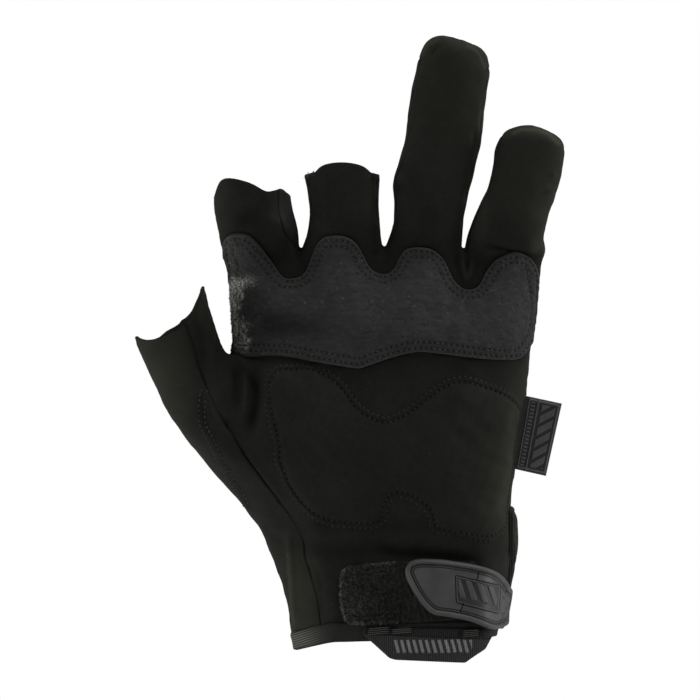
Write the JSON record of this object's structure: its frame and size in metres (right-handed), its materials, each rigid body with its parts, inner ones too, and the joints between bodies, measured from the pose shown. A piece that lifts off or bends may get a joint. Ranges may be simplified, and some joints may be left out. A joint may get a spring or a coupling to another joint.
{
  "type": "tactical glove",
  "caption": "Left-hand tactical work glove as worn, with open thumb, index and middle fingers, padded palm, scalloped finger-base patch and hook-and-loop wrist closure.",
  "frame": {"origin": "centre of the wrist opening, in the plane of the hem, where the wrist goes in", "axes": "+Z from the wrist to the fingertips, -Y out of the palm, +X towards the little finger"},
  "size_m": [0.1479, 0.0545, 0.216],
  "materials": {
    "synthetic_leather": "matt synthetic leather with a fine suede nap",
    "patch_suede": "worn grey-black suede",
    "stretch_fabric": "matt black stretch knit",
    "loop_fabric": "fuzzy hook-and-loop pile",
    "tab_rubber": "satin moulded rubber",
    "webbing": "ribbed woven webbing",
    "label_fabric": "satin moulded label",
    "thread": "bonded sewing thread"
  },
  "bodies": {
    "root": {"palm_panel": "synthetic_leather", "thumb_panel": "synthetic_leather", "back_panel": "stretch_fabric", "fourchette_index_middle": "stretch_fabric", "fourchette_middle_ring": "stretch_fabric", "fourchette_ring_little": "stretch_fabric", "wrist_hem": "stretch_fabric", "finger_base_patch": "patch_suede", "palm_pad": "synthetic_leather", "thumb_patch": "synthetic_leather", "loop_patch": "loop_fabric", "closure_strap": "stretch_fabric", "closure_tab": "tab_rubber", "pull_tab": "webbing", "side_label": "label_fabric"}
  },
  "joints": []
}
